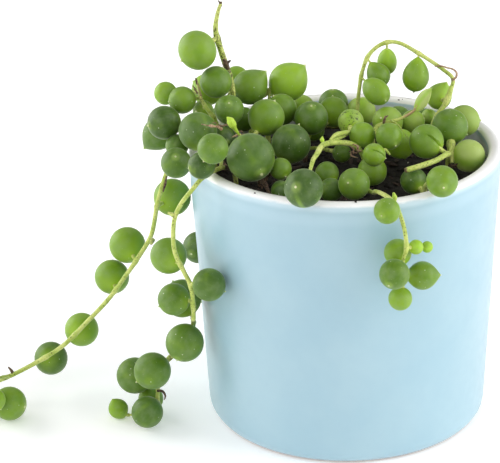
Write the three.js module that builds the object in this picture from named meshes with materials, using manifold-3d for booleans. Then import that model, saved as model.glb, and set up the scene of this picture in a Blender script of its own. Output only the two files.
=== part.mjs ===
// A small string of pearls in a glazed ceramic pot, in millimetres, with +Z up.
// The origin is the middle of the pot's flat foot, and -Y is the front.

import * as THREE from 'three';
import { mergeVertices } from 'three/addons/utils/BufferGeometryUtils.js';
import Module from 'manifold-3d';

const wasm = await Module();
wasm.setup();

// The pot. FOOT_RADIUS is where the tapered wall would meet the ground without its rounded edge.
const RIM_RADIUS = 31;
const FOOT_RADIUS = 28.2;
const POT_HEIGHT = 57;
const WALL = 2.6;
const POT_FLOOR = 3.2;
const FOOT_ROUND = 3;
const INNER_ROUND = 2;
const LIP_ROUND = 1.1;
const POT_SIDES = 48;

// The soil, which lies in the pot with a hair of room at the wall.
const SOIL_TOP = 51;
const SOIL_DOME = 0.6;
const SOIL_SIDES = 32;
const CLEARANCE = 0.3;

// The plant. A stem is a thin rod, and a pearl hangs on a stalk that starts in the middle of a stem.
// STALK_END and TIP_REACH are shares of a pearl's half length: where its stalk meets it, and its point.
const STEM_RADIUS = 0.55;
const STEM_SIDES = 5;
const STEM_STEP = 2.8;
const STALK_RADIUS = 0.42;
const STALK_END = 1.08;
const TIP_REACH = 1.13;
const PEARL_SIDES = 8;
const PEARL_RINGS = 4;
const BUD_DIAMETER = 4.2;
const BUD_SIDES = 6;
const BUD_RINGS = 3;

// A ball with flat sides holds less than a round one, so it is drawn a little larger.
const FLAT_SIDES_GROWTH = 1.02;

// Every strand is one leafy stem with its side stems. The first stem starts under the soil's top, and
// side stems start inside another stem. A pearl is its middle and its diameter, then its length as a
// share of that where it isn't 1, and then where it hangs if that isn't the nearest point of a stem.
const STRANDS = [
  {
    name: 'strand_crown',
    stems: [
      [[-23, 9, 49], [-23, 9, 57], [-22.5, 9, 61], [-22, 9, 65.5], [-22.9, 9, 70], [-24, 9, 74],
        [-25, 9, 78.5], [-24.5, 9, 82], [-23.7, 9, 84.3]],
      [[-22.5, 9, 60], [-23.5, 13, 61.5], [-22.5, 17, 62.5]],
    ],
    pearls: [
      [-28.7, 6, 75.4, 8, 0.93, [-24.8, 9, 77]], [-25.2, 6.5, 68.5, 6.4], [-27.1, 14, 64.3, 6.5],
      [-21.2, 20, 64.5, 5], [-20, 8, 59.9, 5],
    ],
  },
  {
    name: 'strand_left_tuft',
    stems: [
      [[-24.5, 4.5, 49], [-25, 4.5, 56], [-25.5, 4.5, 61], [-27.2, 5, 63.5], [-28.4, 6.3, 65.3],
        [-28.9, 8.3, 67], [-29.3, 9.3, 68.5]],
      [[-28.5, 7, 66], [-31, 9.5, 65.5], [-33, 10, 65]],
      [[-25.5, 4.5, 60], [-28.5, 3, 60.5], [-31, 1.5, 61]],
    ],
    pearls: [
      [-32, 5, 65.4, 5.5], [-35.4, 9, 65.5, 4.7], [-35.6, 0.5, 62.4, 6.7], [-22.7, 1.5, 64.4, 5.9],
      [-28, 8, 62, 4.2], [-24, -0.3, 59.2, 5], [-33.15, -2.15, 58.45, 4.6],
    ],
  },
  {
    name: 'strand_long_trailer',
    stems: [
      [[-26, 1, 49], [-26, 1, 55], [-27, 1, 57.8], [-29.5, 1.5, 58.5], [-32, 1.5, 57.5], [-34, 1.5, 55],
        [-35.5, 1.5, 51.5], [-37.5, 1, 45.5], [-38.8, 2, 39], [-39.6, 2.5, 36.6], [-42, 3, 32.5],
        [-44.3, 3, 29.1], [-48.1, 3, 23.8], [-53, 3, 18.4], [-58.8, 2.5, 12.8], [-64.5, 2, 9.4],
        [-70, 2.5, 6.3], [-73, 3, 4.8], [-77, 3.5, 2.5], [-80, 2, 1.5], [-84, 0.5, 1]],
      [[-30.5, 1.5, 58.3], [-33, 4, 58], [-34, 6, 58]],
      [[-70, 2.5, 6.3], [-71.5, -1.5, 8], [-72.3, -4.5, 8.6]],
    ],
    pearls: [
      [-37.1, 9, 56.9, 6.6], [-34.8, 6, 44.2, 7.6], [-44.5, 8, 33, 7.5], [-48, 8, 25.9, 7.2],
      [-54.9, 8, 14, 7.1], [-61.6, 7, 8, 7], [-69.5, -5, 3.8, 7], [-72.1, -9.4, 7, 4.8],
      [-78.5, -2, 3.2, 6], [-84, -3, 2.3, 4], [-80.5, 6.5, 2.8, 5],
    ],
  },
  {
    name: 'strand_second_trailer',
    stems: [
      [[-21.5, -8, 49], [-22, -9, 55], [-23.5, -12, 57.5], [-25.5, -14.5, 58], [-28, -17, 57.5],
        [-30, -18, 55.5], [-32, -18, 53], [-33.5, -18, 50], [-34, -18, 46.5], [-33.8, -18, 42.5],
        [-32.2, -17.5, 38], [-31, -17.5, 35], [-30.7, -17, 30], [-30.8, -14.5, 26.5], [-31, -10.5, 24.7],
        [-31.3, -7.4, 21], [-35, -7.5, 15.5], [-38.3, -7.5, 12], [-38.8, -7.2, 7.5], [-39, -7.4, 4],
        [-39.3, -7, 1.5], [-42, -6.5, 1.2], [-45, -6, 1]],
      [[-23, -10.5, 56.5], [-25.5, -8, 58], [-28.5, -8, 58]],
      [[-30.7, -16.5, 28.5], [-31, -13, 28]],
      [[-24.5, -13.5, 57.9], [-24.3, -15.5, 60.3], [-24.3, -18, 62.6]],
    ],
    pearls: [
      [-28.9, -5, 62.4, 7.6], [-25.8, -20.5, 64.7, 5.9], [-28.1, -17.5, 60.2, 5.3],
      [-33.2, -9.5, 57.7, 6], [-35.3, -13, 39.6, 7.2], [-27.4, -19.5, 36.1, 6.5], [-34.5, -15, 31.1, 6.4],
      [-33.1, -8, 28, 7.7], [-32.8, -12, 20.1, 7.7], [-39.5, -12, 14, 7.5], [-43.5, -5, 9.5, 7.5],
      [-41, -10.5, 3.9, 6.5], [-40.5, -3.8, 3.5, 5.2], [-47.2, -5.5, 2.2, 4.1],
    ],
  },
  {
    name: 'strand_back_trailer',
    stems: [
      [[-18.5, 15, 49], [-18.5, 15.5, 55], [-20, 17, 57.8], [-22, 19, 58.5], [-24.5, 21, 57.3],
        [-26, 22, 54], [-27, 22.5, 50], [-27.5, 22, 42], [-28, 21.5, 34], [-28.5, 21.5, 26], [-28, 22, 19]],
    ],
    pearls: [
      [-24.5, 26.5, 53, 6], [-24, 26, 45.5, 6.5], [-27.8, 26, 39.5, 6.4], [-23.5, 25.5, 34, 6.5],
      [-30.1, 18, 27.7, 6.8], [-26, 25.5, 22, 6.5], [-28, 22, 14.5, 5],
    ],
  },
  {
    name: 'strand_mid_left',
    stems: [[[-15, 12, 49], [-15, 12.5, 56], [-14.7, 13, 61], [-14.5, 14, 64]]],
    pearls: [[-18.5, 13, 64.9, 7.1], [-10.7, 15.3, 65, 7.9], [-12.3, 9, 61.4, 6.4]],
  },
  {
    name: 'strand_front_left',
    stems: [
      [[-17, -6, 49], [-17, -6, 54.5], [-18, -5, 58], [-18.5, -3, 60]],
      [[-17, -6, 53], [-14.5, -6, 53.5], [-13, -5.5, 54]],
      [[-17, -6.5, 54], [-17, -10, 55], [-16, -14, 54.5], [-15, -18, 53.5]],
    ],
    pearls: [
      [-15.4, 2, 62.4, 7.3], [-10.7, -3, 58.6, 7.8], [-18.7, -15, 60.6, 9.3], [-13, -13, 57.3, 4.3],
      [-13.1, -18, 54.9, 3.8],
    ],
  },
  {
    name: 'strand_front_loop',
    stems: [
      [[3.9, -3, 49], [3.8, -3.2, 54.5], [2.8, -4.6, 57.5], [0.8, -7, 59.8], [-2, -9.3, 61],
        [-4.3, -12, 61.8], [-5.3, -15, 62.3], [-6, -18, 62.3], [-6.9, -20.5, 62], [-7.5, -23, 61.2],
        [-8, -25.5, 60.5]],
      [[-3.3, -10.5, 61.5], [-2, -8, 61.3], [-0.5, -5, 60.7], [0.9, -2, 60.2]],
    ],
    pearls: [[-9.1, -31.6, 60.7, 7.3], [1.4, 3, 60.6, 5.2], [3.3, -3.9, 60.4, 5.1]],
  },
  {
    name: 'strand_centre',
    stems: [
      [[-7.6, 7, 49], [-7.5, 7.2, 54], [-6.3, 8, 57], [-4.8, 9.5, 58]],
      [[-7.5, 7.2, 53.5], [-5.5, 6.2, 54], [-3.5, 5.2, 54]],
    ],
    pearls: [[-6.4, 5, 60.9, 6.8], [-1.7, 13, 59.2, 6.1], [-5.7, 11.8, 55.7, 4.4], [-0.4, 4, 53.6, 3.8]],
  },
  {
    name: 'strand_right_trailer',
    stems: [
      [[-0.5, -13, 49], [-0.5, -13.5, 53], [1, -15.5, 54], [3, -18, 54.5], [4.5, -22, 55.5], [4.5, -25, 57],
        [5.5, -28.5, 58], [7, -31.5, 58], [8, -33, 57], [9, -34, 54.5], [9.5, -36, 52], [9.5, -37, 50],
        [9, -37, 48.5], [9, -36, 45.5], [9.5, -35.5, 43.5]],
    ],
    pearls: [
      [-3.9, -9, 54.5, 4.7], [-3.5, -17, 54.3, 4.6], [0.8, -20, 56.6, 6.1], [6, -36, 57.6, 4.9],
      [8.2, -33.3, 48, 5.2], [7.2, -38.8, 46.1, 5.7], [12.8, -34, 43.5, 5.4], [8.5, -36, 39.8, 4.5],
      [11.4, -35.5, 50, 2.8], [13.6, -34, 49.3, 2.2],
    ],
  },
  {
    name: 'strand_arch',
    stems: [
      [[3, 11.5, 49], [3, 11.5, 57.5], [3.5, 11.5, 64], [4.2, 12, 68], [5.5, 12.5, 71.2], [7.5, 13, 73],
        [9.8, 13, 73.8], [12, 13, 73.4], [15, 12, 71.9], [18.2, 11, 70], [20.4, 10, 68.6], [22.2, 9, 67],
        [21.6, 8, 64.8], [20.6, 7, 62.6], [18.9, 6, 60.8], [17.7, 5, 58.5], [17, 4.5, 55], [17, 4.5, 49]],
    ],
    pearls: [
      [9.4, 15, 68.4, 4, 1.1, [9.4, 13, 73.8]], [7.5, 11.5, 67.2, 4.7, 1, [5.2, 12.5, 70.7]],
      [7.1, 7.1, 65, 5, 1, [4, 11.8, 67]], [14.9, 11, 66.9, 5.4, 1.1, [15.4, 12, 71.8]],
      [19.7, 12, 62.2, 5.2, 1, [21.6, 8, 64.8]],
    ],
  },
  {
    name: 'strand_new_leaf',
    stems: [
      [[6, -1.5, 49], [6, -1.5, 55], [5.5, -0.5, 58.5], [6.5, 1, 60.2], [8.5, 1.5, 60.8], [10.5, 1.5, 61.3],
        [12.5, 1.5, 62.3], [14, 1, 63.5]],
      [[6, -1.5, 56], [6.5, -4, 57.5], [6.5, -7, 58], [6, -9.5, 58.3]],
    ],
    pearls: [
      [5.1, -12, 59.3, 4.5], [5, -7.6, 54.2, 5.8], [8.4, -6.1, 60.8, 5.3], [11.1, 0.3, 56.7, 6],
      [15.4, 0.5, 65.7, 3.2, 1.6],
    ],
  },
  {
    name: 'strand_right_rim',
    stems: [
      [[20, -3, 49], [20, -4, 54], [20.3, -5, 57], [20.8, -4.5, 58]],
      [[20.3, -4.5, 56], [19.5, -8, 57.5], [17, -12, 57.8], [14, -14.5, 57.8], [10.8, -16, 57.5]],
      [[20, -3.5, 53], [21.5, 0, 54.5], [22, 3, 55.5]],
    ],
    pearls: [[15.7, -6, 59.5, 6.8], [20.9, 0.5, 60, 7.2], [24.3, 6.9, 58.8, 6.4], [24.2, -4.3, 55.6, 6.5]],
  },
  {
    name: 'strand_front_right',
    stems: [[[14, -15.5, 49], [14.5, -17, 54], [15.5, -20, 57], [16.4, -22.5, 59], [16.6, -24, 59.5]]],
    pearls: [[16.8, -28, 59.9, 6], [12.7, -13, 54.1, 5.2]],
  },
  {
    name: 'strand_back_right',
    stems: [[[11, 9, 49], [11, 9.5, 54], [11, 9, 57]]],
    pearls: [[8.9, 5.8, 59.4, 6.2], [14.1, 8, 58.4, 4.9]],
  },
  {
    name: 'strand_back_creeper',
    stems: [
      [[-12, 20.5, 49], [-11, 20.8, 52], [-6, 21.8, 52.8], [0, 21.5, 52.8], [6, 18.5, 53], [12, 15.5, 53],
        [16, 15, 52.5], [19, 13, 52]],
    ],
    pearls: [
      [-1.3, 21, 58, 6.2], [4.3, 19, 56.8, 6.2], [-8, 22, 56.7, 6], [12, 19.5, 54.8, 5.5],
      [-14.5, 19, 56, 6], [17.8, 13, 57.6, 3.2], [17.5, 17.5, 54.8, 5.5], [9, 13, 56, 4.5],
    ],
  },
];

const GLAZE = new THREE.MeshStandardMaterial({ color: 0xb4d8e6, roughness: 0.25, metalness: 0 });
const EARTH = new THREE.MeshStandardMaterial({ color: 0x2a231d, roughness: 0.95, metalness: 0 });
const LEAF = new THREE.MeshStandardMaterial({ color: 0x6f9a3c, roughness: 0.45, metalness: 0 });

// A closed geometry as a solid: its shared corners are welded and triangles without area are dropped.
function solid(geometry) {
  geometry.deleteAttribute('normal');
  geometry.deleteAttribute('uv');
  const welded = mergeVertices(geometry, 1e-4);
  const corners = welded.index.array;
  const triangles = [];
  for (let i = 0; i < corners.length; i += 3) {
    const [a, b, c] = corners.slice(i, i + 3);
    if (a !== b && b !== c && c !== a) {
      triangles.push(a, b, c);
    }
  }
  const vertProperties = welded.attributes.position.array;
  const triVerts = new Uint32Array(triangles);
  return new wasm.Manifold(new wasm.Mesh({ numProp: 3, vertProperties, triVerts }));
}

function join(solids) {
  return solids.reduce((whole, next) => whole.add(next));
}

function mesh(body, name, material) {
  const { vertProperties, triVerts } = body.getMesh();
  const geometry = new THREE.BufferGeometry();
  geometry.setAttribute('position', new THREE.BufferAttribute(vertProperties, 3));
  geometry.setIndex(new THREE.BufferAttribute(triVerts, 1));
  geometry.computeVertexNormals();
  const piece = new THREE.Mesh(geometry, material);
  piece.name = name;
  return piece;
}

// A profile of radius against height, turned about the Z axis.
function turned(profile, sides) {
  return solid(new THREE.LatheGeometry(profile, sides).rotateX(Math.PI / 2));
}

// Points on a round edge, with the angles in degrees from straight outward, going up.
function roundEdge(radius, height, round, from, to, steps) {
  const points = [];
  for (let i = 0; i <= steps; i += 1) {
    const angle = THREE.MathUtils.degToRad(from + (to - from) * i / steps);
    points.push(new THREE.Vector2(radius + round * Math.cos(angle), height + round * Math.sin(angle)));
  }
  return points;
}

function wallRadius(height) {
  return FOOT_RADIUS + (RIM_RADIUS - FOOT_RADIUS) * height / POT_HEIGHT;
}

function makePot() {
  const footMiddle = wallRadius(FOOT_ROUND) - FOOT_ROUND;
  const lipOuter = RIM_RADIUS - LIP_ROUND;
  const lipInner = RIM_RADIUS - WALL + LIP_ROUND;
  const lipHeight = POT_HEIGHT - LIP_ROUND;
  const innerHeight = POT_FLOOR + INNER_ROUND;
  const innerMiddle = wallRadius(innerHeight) - WALL - INNER_ROUND;
  const profile = [
    new THREE.Vector2(0, 0),
    ...roundEdge(footMiddle, FOOT_ROUND, FOOT_ROUND, -90, 0, 4),
    ...roundEdge(lipOuter, lipHeight, LIP_ROUND, 0, 90, 2),
    ...roundEdge(lipInner, lipHeight, LIP_ROUND, 90, 180, 2),
    ...roundEdge(innerMiddle, innerHeight, INNER_ROUND, 0, -90, 2),
    new THREE.Vector2(0, POT_FLOOR),
  ];
  return turned(profile, POT_SIDES);
}

// The soil's top is a low dome, and its foot keeps clear of the round corner inside the pot.
function makeSoil() {
  const foot = POT_FLOOR + CLEARANCE;
  const cornerTop = POT_FLOOR + INNER_ROUND;
  const innerRadius = (height) => wallRadius(height) - WALL - CLEARANCE;
  const profile = [
    new THREE.Vector2(0, foot),
    new THREE.Vector2(innerRadius(foot) - INNER_ROUND, foot),
    new THREE.Vector2(innerRadius(cornerTop), cornerTop),
    new THREE.Vector2(innerRadius(SOIL_TOP), SOIL_TOP - SOIL_DOME),
    new THREE.Vector2(innerRadius(SOIL_TOP) * 0.6, SOIL_TOP - SOIL_DOME * 0.4),
    new THREE.Vector2(0, SOIL_TOP),
  ];
  return turned(profile, SOIL_SIDES);
}

function stemCurve(route) {
  return new THREE.CatmullRomCurve3(route.map((point) => new THREE.Vector3(...point)));
}

// Whether a point of a stem is too low in the pot to be free of the soil.
function isRooted([x, y, z]) {
  return z < SOIL_TOP + STEM_RADIUS + CLEARANCE && Math.hypot(x, y) < RIM_RADIUS - WALL;
}

function rodSteps(curve) {
  return Math.max(2, Math.round(curve.getLength() / STEM_STEP));
}

// A rod of the given radius along a curve.
function rod(curve, radius) {
  const corners = [];
  for (let side = 0; side < STEM_SIDES; side += 1) {
    const angle = 2 * Math.PI * side / STEM_SIDES;
    corners.push(new THREE.Vector2(radius * Math.cos(angle), radius * Math.sin(angle)));
  }
  const sweep = { steps: rodSteps(curve), extrudePath: curve, bevelEnabled: false };
  return solid(new THREE.ExtrudeGeometry(new THREE.Shape(corners), sweep));
}

// The hole that the start of a stem stands in, which is clear of the stem all round and below.
function rootHole(route) {
  const [x, y, z] = route[0];
  return rod(stemCurve([[x, y, z - CLEARANCE], ...route.slice(0, 2)]), STEM_RADIUS + CLEARANCE);
}

// The holes for a strand, whose first stem may come back to the soil at its far end.
function rootHoles({ stems: [route] }) {
  const fromBothEnds = [route, [...route].reverse()];
  return fromBothEnds.filter(([end]) => isRooted(end)).map(rootHole);
}

// The point in the middle of a strand's rods that is nearest to a place and isn't in the soil.
function nearestOnRods(curves, place) {
  let nearest = null;
  for (const curve of curves) {
    const corners = curve.getSpacedPoints(rodSteps(curve));
    for (let i = 1; i < corners.length; i += 1) {
      const length = new THREE.Line3(corners[i - 1], corners[i]);
      const point = length.closestPointToPoint(place, true, new THREE.Vector3());
      const isNearer = !nearest || point.distanceTo(place) < nearest.distanceTo(place);
      if (isNearer && !isRooted(point.toArray())) {
        nearest = point;
      }
    }
  }
  return nearest;
}

// A pearl on its stalk, pointed at the end that is away from the stem.
function makePearl([x, y, z, diameter, stretch = 1, hung = [x, y, z]], curves) {
  const middle = new THREE.Vector3(x, y, z);
  const start = nearestOnRods(curves, new THREE.Vector3(...hung));
  const reach = middle.distanceTo(start);
  const isBud = diameter < BUD_DIAMETER;
  const rings = isBud ? BUD_RINGS : PEARL_RINGS;
  const radius = diameter / 2 * FLAT_SIDES_GROWTH;
  const length = radius * stretch;
  const profile = [
    new THREE.Vector2(0, 0),
    new THREE.Vector2(STALK_RADIUS, 0),
    new THREE.Vector2(STALK_RADIUS, Math.max(reach - STALK_END * length, 0.1)),
  ];
  for (let ring = 1; ring <= rings; ring += 1) {
    const angle = Math.PI * ring / (rings + 1);
    profile.push(new THREE.Vector2(radius * Math.sin(angle), reach - length * Math.cos(angle)));
  }
  profile.push(new THREE.Vector2(0, reach + TIP_REACH * length));
  const shape = new THREE.LatheGeometry(profile, isBud ? BUD_SIDES : PEARL_SIDES);
  const outward = middle.clone().sub(start).normalize();
  const turn = new THREE.Quaternion().setFromUnitVectors(new THREE.Vector3(0, 1, 0), outward);
  shape.applyQuaternion(turn).translate(start.x, start.y, start.z);
  return solid(shape);
}

function makeStrand({ stems, pearls }) {
  const curves = stems.map(stemCurve);
  const rods = curves.map((curve) => rod(curve, STEM_RADIUS));
  return join([...rods, ...pearls.map((pearl) => makePearl(pearl, curves))]);
}

const soil = makeSoil().subtract(join(STRANDS.flatMap(rootHoles)));
const plant = STRANDS.map((strand) => mesh(makeStrand(strand), strand.name, LEAF));

const pottedPearls = new THREE.Group();
pottedPearls.add(mesh(makePot(), 'pot', GLAZE), mesh(soil, 'soil', EARTH), ...plant);

export default pottedPearls;
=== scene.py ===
"""A small string of pearls in a sky-blue glazed pot, dressed over its solids.

Shapes are modelled in millimetres in the frame of the solids, +Z up and -Y to the front, and each finished
piece is then brought to metres. The lists of stems and pearls repeat those that the solids are made from."""

import math
import random

import bpy
from mathutils import Matrix, Vector, noise


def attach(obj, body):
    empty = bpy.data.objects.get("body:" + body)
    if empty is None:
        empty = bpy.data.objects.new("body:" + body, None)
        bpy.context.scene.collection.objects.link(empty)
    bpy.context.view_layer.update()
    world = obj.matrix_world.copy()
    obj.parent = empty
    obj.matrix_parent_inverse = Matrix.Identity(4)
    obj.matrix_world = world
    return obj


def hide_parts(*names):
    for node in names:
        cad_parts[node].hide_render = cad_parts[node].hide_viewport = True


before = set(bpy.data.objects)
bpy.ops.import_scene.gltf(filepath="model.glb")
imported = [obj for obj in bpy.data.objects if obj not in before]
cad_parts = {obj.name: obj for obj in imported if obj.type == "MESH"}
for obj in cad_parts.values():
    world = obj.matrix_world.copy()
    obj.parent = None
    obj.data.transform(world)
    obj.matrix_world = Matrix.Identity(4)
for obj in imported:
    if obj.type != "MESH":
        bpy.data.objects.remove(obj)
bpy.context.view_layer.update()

METRES = 0.001

# The pot and the soil, with the sizes of their solids.
RIM_RADIUS = 31
FOOT_RADIUS = 28.2
POT_HEIGHT = 57
WALL = 2.6
MOUTH_RADIUS = RIM_RADIUS - WALL
POT_FLOOR = 3.2
FOOT_ROUND = 3
INNER_ROUND = 2
LIP_ROUND = 1.1
SOIL_TOP = 51
SOIL_DOME = 0.6
CLEARANCE = 0.3
POT_SIDES = 160
WALL_BANDS = range(8, 54, 3)
WALL_WAVE = 0.14
LIP_WAVE = 0.12
SOIL_SIDES = 120
SOIL_RINGS = 26
SOIL_LUMPS = 0.55
CRUMB_COUNT = 560
SPILLED = [(-18.1, -24.4, 0.4), (0.6, -30, 0.5), (12.5, 24.9, 0.45), (13.3, 25.3, 0.25)]

# A crumb carries a number from 0 to 1. It is peat up to the first of these, then bark up to the second,
# and a pale grain above that.
BARK_FROM = 0.40
GRAIN_FROM = 0.90

# The plant.
STEM_STEP = 0.6
TWIG_STEP = 0.25
STEM_RADIUS = 0.55
STALK_RADIUS = 0.42
TIP_REACH = 0.13
ABOVE_SOIL = 0.85
BROWN_FOOT = 4
FORMS = ("pearl", "onion", "teardrop", "drop", "lemon", "cleft", "boat")
NECKS = {"teardrop": 1.28, "drop": 1.6}

# What the drawing of lots starts from.
SOIL_SEED = 5
PLANT_SEED = 11

# Directions as the viewer in front of the pot has them, for the points of the pearls.
LEFT = Vector((-1, 0, 0))
RIGHT = Vector((1, 0, 0))
UP = Vector((0, 0, 1))
DOWN = Vector((0, 0, -1))
FRONT = Vector((0, -1, 0))
BACK = Vector((0, 1, 0))

# How far a pearl has ripened, from 0 for a new leaf to 1 for an old one.
NEW = 0
FRESH = 0.12
YOUNG = 0.25
HALF = 0.4
GROWN = 0.55
FULL = 0.65
RIPE = 0.75
LATE = 0.87
OLD = 1

# The greens of a pearl's skin by its age, and those of its darker clouds.
GREENS = [(0, (0.34, 0.56, 0.035)), (0.25, (0.205, 0.355, 0.018)), (0.55, (0.105, 0.205, 0.014)),
          (0.75, (0.068, 0.145, 0.013)), (1, (0.034, 0.078, 0.011))]
CLOUDED = [(0, (0.25, 0.45, 0.02)), (0.5, (0.07, 0.165, 0.008)), (1, (0.025, 0.06, 0.006))]


def pearl(x, y, z, diameter, age=GROWN, tip=None, face=None, stretch=1, form="pearl", bloom=0, stripe=1,
          grit=0, hung=None):
    """One leaf: its middle, its diameter and its age, where its point looks if that isn't straight off the
    stem, where its clear stripe looks if that isn't up, how long it is for its width, its form, how much
    pale bloom it has, which on some pearls is also painted light that lifts them out of shade, how strong
    its stripe is, how much dark grit sticks to it, and near which place it hangs from a stem if that isn't
    its own."""
    return {"middle": Vector((x, y, z)), "diameter": diameter, "age": age, "tip": tip, "face": face,
            "stretch": stretch, "form": form, "bloom": bloom, "stripe": stripe,
            "grit": grit, "hung": Vector(hung or (x, y, z))}


# The plant's leafy stems with their side stems, by name.
STRANDS = {}


def add_strand(name, **facts):
    """Notes one strand: its stems and pearls, and where it has any, its twigs, its withered spots, some of
    which are painted shade, its rosy spots, how thick and how speckled it is, and which of its stems is cut
    off blunt.

    A spot is a place and how far it reaches. A twig is a small loose bit: its route, its radii along that,
    how dry it is, with -1 for a fresh bud, and how rosy."""
    STRANDS[name] = facts


add_strand(
    "crown", thickness=1.15, speckled=2.6,
    dried=[(-23.7, 9, 84.9, 1.5), (-23, 9, 71, 1.5)],
    twigs=[
        ([(-23.8, 9, 83.4), (-24, 9, 84.1), (-24.3, 9, 84.6)], [0.3, 0.22, 0.1], 1, 0),
        ([(-23.6, 8.6, 72.6), (-23.1, 8.5, 71.4), (-22.7, 8.6, 70.4)], [0.35, 0.62, 0.3], 0.8, 0),
        ([(-22.9, 8.8, 71.6), (-22.2, 8.8, 72.2)], [0.35, 0.15], 1, 0),
        ([(-23.2, 8.8, 70.8), (-24.1, 8.8, 70.6)], [0.35, 0.15], 1, 0),
    ],
    stems=[
        [(-23, 9, 49), (-23, 9, 57), (-22.5, 9, 61), (-22, 9, 65.5), (-22.9, 9, 70), (-24, 9, 74),
         (-25, 9, 78.5), (-24.5, 9, 82), (-23.7, 9, 84.3)],
        [(-22.5, 9, 60), (-23.5, 13, 61.5), (-22.5, 17, 62.5)],
    ],
    pearls=[
        pearl(-28.7, 6, 75.4, 8, YOUNG, LEFT * 2 + FRONT + DOWN, stretch=0.93, hung=(-24.8, 9, 77)),
        pearl(-25.2, 6.5, 68.5, 6.4, GROWN, UP + RIGHT * 0.5),
        pearl(-27.1, 14, 64.3, 6.5, FRESH),
        pearl(-21.2, 20, 64.5, 5, YOUNG),
        pearl(-20, 8, 59.9, 5, GROWN),
    ],
)
add_strand(
    "left_tuft", thickness=0.8,
    dried=[(-29.2, 9, 68.6, 1.8)],
    twigs=[
        ([(-28.9, 4.8, 69.6), (-28.6, 4.7, 68), (-28.3, 4.6, 66.6), (-28.2, 4.8, 65.6)],
         [0.1, 0.2, 0.18, 0.3], 0.45, 0.3),
        ([(-29.8, 4.6, 68.6), (-29.4, 4.5, 67.8), (-28.9, 4.5, 66.9)], [0.1, 0.2, 0.15], 0.9, 0.1),
        ([(-28.5, 4.2, 66.1), (-28, 4.2, 66)], [0.4, 0.25], 0, 0.4),
    ],
    stems=[
        [(-24.5, 4.5, 49), (-25, 4.5, 56), (-25.5, 4.5, 61), (-27.2, 5, 63.5), (-28.4, 6.3, 65.3),
         (-28.9, 8.3, 67), (-29.3, 9.3, 68.5)],
        [(-28.5, 7, 66), (-31, 9.5, 65.5), (-33, 10, 65)],
        [(-25.5, 4.5, 60), (-28.5, 3, 60.5), (-31, 1.5, 61)],
    ],
    pearls=[
        pearl(-32, 5, 65.4, 5.5, HALF),
        pearl(-35.4, 9, 65.5, 4.7, YOUNG, UP * 2 + LEFT),
        pearl(-35.6, 0.5, 62.4, 6.7, LATE, LEFT * 2 + FRONT),
        pearl(-22.7, 1.5, 64.4, 5.9, GROWN, UP + FRONT),
        pearl(-28, 8, 62, 4.2, HALF, bloom=0.2),
        pearl(-24, -0.3, 59.2, 5, OLD),
        pearl(-33.15, -2.15, 58.45, 4.6, FULL),
    ],
)
add_strand(
    "long_trailer", thickness=0.85, speckled=0.1,
    twigs=[
        ([(-35.6, 1, 50.8), (-35.9, 0.8, 49.2), (-36.4, 0.8, 47.6)], [0.12, 0.28, 0.14], 1, 0),
        ([(-38.9, 1, 37), (-39.2, -0.3, 36.8)], [0.5, 0.35], 0.4, 0),
        ([(-69.2, 2.4, 6.8), (-69.6, 2.6, 7.6), (-70.2, 2.8, 8.3)], [0.4, 0.3, 0.15], 0.6, 0),
    ],
    stems=[
        [(-26, 1, 49), (-26, 1, 55), (-27, 1, 57.8), (-29.5, 1.5, 58.5), (-32, 1.5, 57.5), (-34, 1.5, 55),
         (-35.5, 1.5, 51.5), (-37.5, 1, 45.5), (-38.8, 2, 39), (-39.6, 2.5, 36.6), (-42, 3, 32.5),
         (-44.3, 3, 29.1), (-48.1, 3, 23.8), (-53, 3, 18.4), (-58.8, 2.5, 12.8), (-64.5, 2, 9.4),
         (-70, 2.5, 6.3), (-73, 3, 4.8), (-77, 3.5, 2.5), (-80, 2, 1.5), (-84, 0.5, 1)],
        [(-30.5, 1.5, 58.3), (-33, 4, 58), (-34, 6, 58)],
        [(-70, 2.5, 6.3), (-71.5, -1.5, 8), (-72.3, -4.5, 8.6)],
    ],
    pearls=[
        pearl(-37.1, 9, 56.9, 6.6, FULL, LEFT + DOWN, form="onion"),
        pearl(-34.8, 6, 44.2, 7.6, YOUNG),
        pearl(-44.5, 8, 33, 7.5, YOUNG),
        pearl(-48, 8, 25.9, 7.2, YOUNG),
        pearl(-54.9, 8, 14, 7.1, YOUNG),
        pearl(-61.6, 7, 8, 7, FULL),
        pearl(-69.5, -5, 3.8, 7, HALF, RIGHT * 2 + FRONT),
        pearl(-72.1, -9.4, 7, 4.8, YOUNG, FRONT + RIGHT + DOWN),
        pearl(-78.5, -2, 3.2, 6, GROWN),
        pearl(-84, -3, 2.3, 4, YOUNG),
        pearl(-80.5, 6.5, 2.8, 5, GROWN),
    ],
)
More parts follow.
